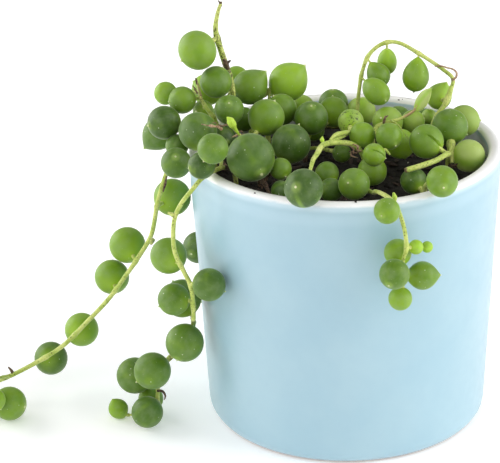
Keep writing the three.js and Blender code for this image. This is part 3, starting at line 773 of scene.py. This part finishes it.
def floor_paint():
    """A plain white surface."""
    paint = Paint("white_surface")
    tone = paint.blend(paint.noise(60, detail=1), (0.93, 0.93, 0.935), (0.95, 0.95, 0.95))
    return paint.finish(Base_Color=tone, Roughness=0.85, Emission_Color=(1, 1, 1, 1), Emission_Strength=0.24)


# Working on a piece.


def only(*pieces):
    """Selects these pieces and nothing else, the first of them active."""
    bpy.ops.object.select_all(action="DESELECT")
    for piece in pieces:
        piece.select_set(True)
    bpy.context.view_layer.objects.active = pieces[0]


def started(name):
    """The primitive that was just added, under its own name and with its place in its mesh."""
    piece = bpy.context.object
    piece.name = name
    piece.data.name = name
    only(piece)
    bpy.ops.object.transform_apply(location=True, rotation=True, scale=True)
    return piece


def pick(piece, kind, wanted):
    """Opens a piece for editing with only the wanted corners, edges or faces selected.

    The test is given the middle and the normal of a face, or the place of a corner. An edge needs both of
    its ends to pass."""
    only(piece)
    bpy.ops.object.mode_set(mode="EDIT")
    bpy.ops.mesh.select_mode(type=kind)
    bpy.ops.mesh.select_all(action="DESELECT")
    bpy.ops.object.mode_set(mode="OBJECT")
    mesh = piece.data
    if kind == "FACE":
        for face in mesh.polygons:
            face.select = wanted(face.center, face.normal)
    elif kind == "EDGE":
        for edge in mesh.edges:
            ends = [mesh.vertices[i].co for i in edge.vertices]
            edge.select = all(wanted(end) for end in ends)
    else:
        for corner in mesh.vertices:
            corner.select = wanted(corner.co)
    bpy.ops.object.mode_set(mode="EDIT")


def close():
    """Ends editing."""
    bpy.ops.object.mode_set(mode="OBJECT")


def scale_picked(piece, kind, wanted, sizes, centre=(0, 0, 0)):
    """Scales the wanted corners or faces of a piece about a centre."""
    pick(piece, kind, wanted)
    bpy.ops.transform.resize(value=sizes, center_override=centre)
    close()


def narrow_foot(piece, share):
    """Draws in the lowest face of an upright piece."""
    scale_picked(piece, "FACE", lambda middle, normal: normal.z < -0.9, (share, share, 1))


def cover(piece, paint):
    """Gives a piece one material in place of those that it has."""
    piece.data.materials.clear()
    piece.data.materials.append(paint)


def set_numbers(mesh, name, values):
    """Gives each corner of a mesh a number, or the same one to all."""
    if not isinstance(values, list):
        values = [values] * len(mesh.vertices)
    layer = mesh.attributes.new(name, "FLOAT", "POINT")
    layer.data.foreach_set("value", values)


def placed_copy(pattern, matrix):
    """A copy of a piece with its own mesh, moved there by a matrix."""
    copy = pattern.copy()
    copy.data = pattern.data.copy()
    copy.data.transform(matrix)
    bpy.context.scene.collection.objects.link(copy)
    return copy


def joined(name, pieces):
    """Several pieces made one."""
    only(*pieces)
    if len(pieces) > 1:
        bpy.ops.object.join()
    piece = bpy.context.object
    piece.name = name
    piece.data.name = name
    return piece


def complete(piece, node, smooth_degrees):
    """Brings a piece to metres, smooths it, and lets it stand for a solid of the frame."""
    piece.data.transform(Matrix.Scale(METRES, 4))
    only(piece)
    bpy.ops.object.shade_smooth_by_angle(angle=math.radians(smooth_degrees))
    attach(piece, "root")
    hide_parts(node)
    return piece


def wall_radius(height):
    return FOOT_RADIUS + (RIM_RADIUS - FOOT_RADIUS) * height / POT_HEIGHT


# The pot and the soil.


def make_pot(paint):
    """A cylinder drawn in at the foot, hollowed from the top, with its edges rounded."""
    bpy.ops.mesh.primitive_cylinder_add(vertices=POT_SIDES, radius=RIM_RADIUS, depth=POT_HEIGHT,
                                        location=(0, 0, POT_HEIGHT / 2))
    pot = started("glazed_pot")
    narrow_foot(pot, FOOT_RADIUS / RIM_RADIUS)
    pick(pot, "FACE", lambda middle, normal: normal.z > 0.9)
    bpy.ops.mesh.inset(thickness=WALL)
    bpy.ops.mesh.extrude_region_move(TRANSFORM_OT_translate={"value": (0, 0, POT_FLOOR - POT_HEIGHT)})
    narrow = (wall_radius(POT_FLOOR) - WALL) / MOUTH_RADIUS
    bpy.ops.transform.resize(value=(narrow, narrow, 1), center_override=(0, 0, POT_FLOOR))
    close()
    round_edges(pot, lambda corner: corner.z > POT_HEIGHT - 0.01, LIP_ROUND, 6)
    round_edges(pot, lambda corner: corner.z < 0.01, FOOT_ROUND, 8)
    round_edges(pot, lambda corner: abs(corner.z - POT_FLOOR) < 0.01, INNER_ROUND, 4)
    for height in WALL_BANDS:
        pick(pot, "FACE", lambda middle, normal: abs(normal.z) < 0.5)
        bpy.ops.mesh.bisect(plane_co=(0, 0, height), plane_no=(0, 0, 1))
        close()
    make_uneven(pot)
    cover(pot, paint)
    return complete(pot, "pot", 40)


def round_edges(piece, wanted, radius, segments):
    """Rounds the edges between the wanted corners of a piece."""
    pick(piece, "EDGE", wanted)
    bpy.ops.mesh.bevel(offset=radius, segments=segments, affect="EDGES")
    close()


def make_uneven(pot):
    """The slight waves of a wall that was cast and glazed, which leave the foot flat."""
    for corner in pot.data.vertices:
        if corner.co.z > 2 and corner.co.xy.length > 20:
            wave = noise.noise(corner.co * 0.05) * WALL_WAVE
            around = corner.co.xy.normalized() * wave
            corner.co.x += around.x
            corner.co.y += around.y
            if corner.co.z > POT_HEIGHT - 2:
                corner.co.z += noise.noise(Vector((corner.co.x, corner.co.y, 9)) * 0.06) * LIP_WAVE


def make_soil(paint):
    """A plug of soil with a lumpy top, strewn with crumbs and chips."""
    draw = random.Random(SOIL_SEED)
    foot = POT_FLOOR + CLEARANCE
    depth = SOIL_TOP - foot
    reach = wall_radius(SOIL_TOP) - WALL - CLEARANCE
    bpy.ops.mesh.primitive_cylinder_add(vertices=SOIL_SIDES, radius=reach, depth=depth,
                                        location=(0, 0, foot + depth / 2))
    soil = started("soil_plug")
    narrow_foot(soil, (wall_radius(foot) - WALL - CLEARANCE - INNER_ROUND) / reach)
    pick(soil, "FACE", lambda middle, normal: normal.z > 0.9)
    for _ in range(SOIL_RINGS):
        bpy.ops.mesh.inset(thickness=1)
    bpy.ops.mesh.poke()
    close()
    for corner in soil.data.vertices:
        if corner.co.z > SOIL_TOP - 0.01:
            share = corner.co.xy.length / reach
            lumps = noise.fractal(corner.co * 0.45, 0.8, 2.1, 3)
            corner.co.z += lumps * SOIL_LUMPS - 0.2 - SOIL_DOME * share * share
    set_numbers(soil.data, "kind", 0.0)
    crumbs = strew_crumbs(draw, reach)
    whole = joined("potting_soil", [soil, *crumbs])
    cover(whole, paint)
    return complete(whole, "soil", 35)


def make_crumb_patterns():
    """Three lumps about a millimetre across, each dented in its own way."""
    patterns = []
    for index in range(3):
        bpy.ops.mesh.primitive_ico_sphere_add(subdivisions=2, radius=0.5)
        crumb = started(f"crumb_{index}")
        for corner in crumb.data.vertices:
            corner.co *= 1 + 0.35 * noise.noise(corner.co * 2.6 + Vector((index * 7, 0, 0)))
        scale_picked(crumb, "VERT", lambda corner: corner.z < -0.25, (1, 1, 0.4), (0, 0, -0.25))
        patterns.append(crumb)
    return patterns


def strew_crumbs(draw, reach):
    """Crumbs all over the top but its very middle, and a few spilled at the rim."""
    patterns = make_crumb_patterns()
    crumbs = []
    for _ in range(CRUMB_COUNT):
        away = (reach - 0.6) * math.sqrt(draw.uniform(0.05, 1))
        turn = draw.uniform(0, 2 * math.pi)
        kind = draw.random()
        size = draw.uniform(0.5, 1.7)
        shape = Vector((1, 1, draw.uniform(0.5, 0.9)))
        if kind > BARK_FROM:
            shape = Vector((draw.uniform(1.2, 2.2), draw.uniform(0.5, 0.9), 0.35))
        if kind > GRAIN_FROM:
            size = draw.uniform(0.3, 0.7)
            shape = Vector((1, 0.8, 0.7))
        top = SOIL_TOP - SOIL_DOME * (away / reach) ** 2
        place = Vector((away * math.cos(turn), away * math.sin(turn), top))
        tipped = Matrix.Rotation(draw.uniform(-0.5, 0.5), 4, "X")
        tilt = tipped @ Matrix.Rotation(draw.uniform(-0.4, 0.4), 4, "Y")
        spun = Matrix.Rotation(draw.uniform(0, 6.28), 4, "Z") @ tilt @ Matrix.Diagonal((*(shape * size), 1))
        crumb = placed_copy(draw.choice(patterns), Matrix.Translation(place) @ spun)
        set_numbers(crumb.data, "kind", kind)
        crumbs.append(crumb)
    for x, y, size in SPILLED:
        place = Matrix.Translation((x, y, POT_HEIGHT + size * 0.15))
        crumb = placed_copy(patterns[0], place @ Matrix.Diagonal((size, size * 0.8, size * 0.6, 1)))
        set_numbers(crumb.data, "kind", 0.0)
        crumbs.append(crumb)
    for pattern in patterns:
        bpy.data.objects.remove(pattern)
    return crumbs


# The plant.


def smooth_route(route, step):
    """Points about a step apart on a centripetal curve through those of the route."""
    points = [Vector(point) for point in route]
    padded = [2 * points[0] - points[1], *points, 2 * points[-1] - points[-2]]
    smooth = []
    for a, b, c, d in zip(padded, padded[1:], padded[2:], padded[3:]):
        knots = [0.0]
        for start, end in ((a, b), (b, c), (c, d)):
            knots.append(knots[-1] + math.sqrt((end - start).length))
        count = max(1, round((c - b).length / step))
        for i in range(count):
            smooth.append(between(knots, (a, b, c, d), knots[1] + (knots[2] - knots[1]) * i / count))
    return [*smooth, points[-1]]


def between(knots, points, place):
    """The point of a Catmull-Rom curve at a place on its knots."""
    points = list(points)
    for level in (1, 2, 3):
        for i in range(4 - level):
            low, high = (knots[i], knots[i + level]) if level < 3 else (knots[1], knots[2])
            share = (place - low) / (high - low)
            points[i] = points[i].lerp(points[i + 1], share)
    return points[0]


def tube(name, points, radii, sides):
    """A closed round rod along points, with a radius at each."""
    data = bpy.data.curves.new(name, "CURVE")
    data.dimensions = "3D"
    line = data.splines.new("POLY")
    line.points.add(len(points) - 1)
    for spot, point, radius in zip(line.points, points, radii):
        spot.co = (*point, 1)
        spot.radius = radius
    data.bevel_depth = 1
    data.bevel_resolution = sides // 2 - 2
    data.use_fill_caps = True
    only(shown(name, data))
    bpy.ops.object.convert(target="MESH")
    return bpy.context.object


def make_leaf_patterns():
    """The forms of leaf, one millimetre in radius, with the stalk's side down and the point up."""
    patterns = {name: make_ball(name) for name in FORMS}
    draw_up(patterns["onion"], 0.28, 1.0)
    draw_down(patterns["teardrop"], 0.42, 1.5)
    draw_down(patterns["drop"], 0.85, 1.9, "LINEAR")
    draw_up(patterns["lemon"], 0.2, 0.9)
    draw_down(patterns["lemon"], 0.2, 1.1)
    cleave(patterns["cleft"])
    draw_up(patterns["boat"], 0.25, 0.9)
    draw_down(patterns["boat"], 0.2, 1.1)
    scale_picked(patterns["boat"], "VERT", lambda corner: True, (1, 0.3, 1))
    return patterns


def make_ball(name):
    """A ball whose top is drawn up into a small sharp point.

    Its corners carry their places as the attribute leaf, which later bends and turns leave alone."""
    bpy.ops.mesh.primitive_uv_sphere_add(segments=28, ring_count=18, radius=1)
    ball = started(name)
    pick(ball, "VERT", lambda corner: 0.98 < corner.z < 0.999)
    bpy.ops.transform.resize(value=(0.5, 0.5, 1), center_override=(0, 0, 0))
    bpy.ops.transform.translate(value=(0, 0, 0.025))
    close()
    pick(ball, "VERT", lambda corner: corner.z > 0.999 and corner.xy.length < 0.01)
    bpy.ops.transform.translate(value=(0, 0, TIP_REACH))
    close()
    layer = ball.data.attributes.new("leaf", "FLOAT_VECTOR", "POINT")
    layer.data.foreach_set("vector", [x for corner in ball.data.vertices for x in corner.co])
    return ball


def draw_up(leaf, rise, reach):
    """Pulls the point of a leaf up."""
    draw_out(leaf, lambda corner: corner.z > 0.97, rise, reach, "SHARP")


def draw_down(leaf, fall, reach, falloff="SHARP"):
    """Pulls the stalk's end of a leaf down."""
    draw_out(leaf, lambda corner: corner.z < -0.99, -fall, reach, falloff)


def draw_out(leaf, wanted, rise, reach, falloff):
    """Lifts or lowers some of a leaf's corners, and those within reach of them less and less."""
    pick(leaf, "VERT", wanted)
    bpy.ops.transform.translate(value=(0, 0, rise), use_proportional_edit=True,
                                proportional_edit_falloff=falloff, proportional_size=reach)
    close()


def cleave(leaf):
    """Cuts a furrow down one side of a leaf, from its point to past its middle."""

    def along(corner, side, lowest):
        return abs(corner.x) < 0.01 and corner.y > side and corner.z > lowest

    pick(leaf, "EDGE", lambda corner: along(corner, 0.2, -0.4))
    bpy.ops.mesh.bevel(offset=0.09, segments=2, affect="EDGES")
    close()
    scale_picked(leaf, "VERT", lambda corner: along(corner, 0.25, -0.3), (1, 0.86, 0.92))


def nearest_point(routes, place):
    """The point of a strand's stems, above the soil, that is nearest to a place."""
    lowest = SOIL_TOP + ABOVE_SOIL
    free = [p for route in routes for p in route if p.xy.length > MOUTH_RADIUS or p.z > lowest]
    return min(free, key=lambda point: (point - place).length)


def leaf_matrix(leaf, outward, draw):
    """Turns a leaf's point to where it looks, and the clear stripe on its side to the light."""
    top = (leaf["tip"] or outward).normalized()
    light = UP + Vector((draw.uniform(-0.6, 0.6), draw.uniform(-0.6, 0.6), 0))
    if abs(top.z) > 0.95:
        light = light + BACK * 2
    side = (leaf["face"] or light).cross(top).normalized()
    face = top.cross(side)
    turn = Matrix((side, face, top)).transposed()
    radius = leaf["diameter"] / 2
    size = Matrix.Diagonal((radius, radius, radius * leaf["stretch"], 1))
    return Matrix.Translation(leaf["middle"]) @ turn.to_4x4() @ size


def hang_leaf(leaf, routes, patterns, thickness, draw):
    """A leaf and its stalk, and the point of the stem that the stalk starts from."""
    middle = leaf["middle"]
    radius = leaf["diameter"] / 2
    start = nearest_point(routes, leaf["hung"])
    outward = (middle - start).normalized()
    matrix = leaf_matrix(leaf, outward, draw)
    top = matrix.to_3x3() @ UP
    base = (-outward - 0.5 * top.normalized()).normalized()
    join = middle + base * radius * 0.97
    if leaf["form"] in NECKS:
        join = middle - outward * radius * leaf["stretch"] * NECKS[leaf["form"]]
        thickness = thickness * 0.65
    ball = placed_copy(patterns[leaf["form"]], matrix)
    set_numbers(ball.data, "age", min(1, max(0, leaf["age"] + draw.uniform(-0.05, 0.05))))
    set_numbers(ball.data, "seed", draw.random())
    for word in ("bloom", "stripe", "grit"):
        set_numbers(ball.data, word, float(leaf[word]))
    nearby = [1 - (corner.co - join).length / (radius * 0.95) for corner in ball.data.vertices]
    set_numbers(ball.data, "neck", [max(0.0, share) ** 1.7 for share in nearby])
    return ball, make_stalk(start, join, base, radius, thickness), start


def make_stalk(start, join, base, radius, thickness):
    """A short stalk that widens into the leaf."""
    gap = (join - start).length
    bend = join + base * gap * 0.4
    inside = join - base * 0.35
    flare = min(0.75, radius * 0.3)
    radii = [0.5, 0.46, STALK_RADIUS, STALK_RADIUS, STALK_RADIUS + 0.05, STALK_RADIUS + 0.12, flare]
    points = []
    for i in range(len(radii)):
        share = i / (len(radii) - 1)
        points.append(start.lerp(bend, share).lerp(bend.lerp(inside, share), share))
    return tube("stalk", points, [r * thickness for r in radii], 8)


def make_stem(route, starts, thickness, blunt):
    """A stem that swells a little where stalks leave it and thins out towards its end, if that isn't cut."""
    radii = []
    for index, point in enumerate(route):
        swell = sum(math.exp(-((point - start).length / 0.7) ** 2) for start in starts)
        wobble = 0.06 * noise.noise(point * 0.9)
        left = len(route) - 1 - index
        thin = 1 if blunt else min(1, 0.5 + left * 0.035)
        radii.append(STEM_RADIUS * thickness * thin * (1 + wobble + 0.28 * min(1, swell)))
    radii[-1] *= 0.8 if blunt else 0.6
    return tube("stem", route, radii, 10)


def make_twig(route, radii):
    """A small loose bit, such as a tendril or a bud, with its radii spread evenly along it."""
    smooth = smooth_route(route, TWIG_STEP)
    last = len(smooth) - 1
    full = []
    for index in range(len(smooth)):
        place = index / last * (len(radii) - 1)
        low = min(int(place), len(radii) - 2)
        full.append(radii[low] + (radii[low + 1] - radii[low]) * (place - low))
    return tube("twig", smooth, full, 8)


def nearness(place, spots):
    """How deep a place lies in any of some balls, in millimetres, from 0 outside to 1 at most."""
    return max([0, *(min(1, reach - (place - Vector(middle)).length) for *middle, reach in spots)])


def dryness_and_shade(place, dried):
    """Brown where a stem comes out of the soil, and in its withered spots, some of which are painted shade.
    """
    rooted = 0
    if place.xy.length < MOUTH_RADIUS:
        rooted = min(1, max(0, (SOIL_TOP + BROWN_FOOT - place.z) / BROWN_FOOT))
    return max(rooted * 0.8, nearness(place, dried))


def make_strand(name, strand, patterns, paints, draw):
    """One strand, dressed: its leaves with their stalks, its stems and its twigs."""
    routes = [smooth_route(route, STEM_STEP) for route in strand["stems"]]
    thickness = strand.get("thickness", 1)
    dried = strand.get("dried", ())
    blushed = strand.get("blushed", ())
    hung = [hang_leaf(leaf, routes, patterns, thickness, draw) for leaf in strand["pearls"]]
    leaves, stalks, starts = zip(*hung)
    blunt = strand.get("blunt")
    stems = [make_stem(route, starts, thickness, index == blunt) for index, route in enumerate(routes)]
    skin = joined(f"{name}_skin", leaves)
    cover(skin, paints["pearl"])
    woody = [*stems, *stalks]
    for part in woody:
        places = [corner.co for corner in part.data.vertices]
        set_numbers(part.data, "dry", [dryness_and_shade(place, dried) for place in places])
        set_numbers(part.data, "blush", [nearness(place, blushed) for place in places])
    for route, radii, dry, blushing in strand.get("twigs", ()):
        part = make_twig(route, radii)
        set_numbers(part.data, "dry", dry)
        set_numbers(part.data, "blush", blushing)
        woody.append(part)
    for part in woody:
        set_numbers(part.data, "speckled", strand.get("speckled", 0.25))
        cover(part, paints["stem"])
    whole = joined(f"{name}_strand", [skin, *woody])
    return complete(whole, f"strand_{name}", 60)


def make_plant():
    """All the strands, each a piece of its own."""
    draw = random.Random(PLANT_SEED)
    patterns = make_leaf_patterns()
    paints = {"pearl": pearl_paint(), "stem": stem_paint()}
    for name, strand in STRANDS.items():
        make_strand(name, strand, patterns, paints, draw)
    for pattern in patterns.values():
        bpy.data.objects.remove(pattern)


# The surroundings.


def make_surroundings():
    """A white floor and room, with soft light from all round."""
    bpy.ops.mesh.primitive_plane_add(size=8, location=(0, 0, 0))
    floor = started("floor")
    floor.data.materials.append(floor_paint())
    world = bpy.data.worlds.new("white_room")
    world.use_nodes = True
    world.node_tree.nodes["Background"].inputs["Color"].default_value = (1, 1, 1, 1)
    world.node_tree.nodes["Background"].inputs["Strength"].default_value = 0.28
    bpy.context.scene.world = world
    add_light("front", (0.05, -0.80, 0.80), 0.8, 1.8)
    add_light("front_left", (-0.55, -0.70, 0.45), 0.8, 2.8)
    add_light("left", (-0.80, -0.10, 0.30), 0.9, 1.4)
    add_light("back_left", (-0.75, 0.35, 0.30), 0.8, 6.5)
    add_light("right", (0.70, -0.15, 0.30), 0.8, 6.8)
    add_light("back", (0.15, 0.55, 0.85), 0.6, 1.0)
    bpy.context.scene.view_settings.view_transform = "Standard"


def add_light(name, place, size, watts):
    """A soft square light that looks at the middle of the plant."""
    data = bpy.data.lights.new(name, "AREA")
    data.size = size
    data.energy = watts
    light = shown(name, data)
    light.location = place
    light.rotation_euler = (Vector(place) - Vector((-0.01, 0, 0.04))).to_track_quat("Z", "Y").to_euler()


make_camera()
make_pot(glaze_paint())
make_soil(soil_paint())
make_plant()
make_surroundings()
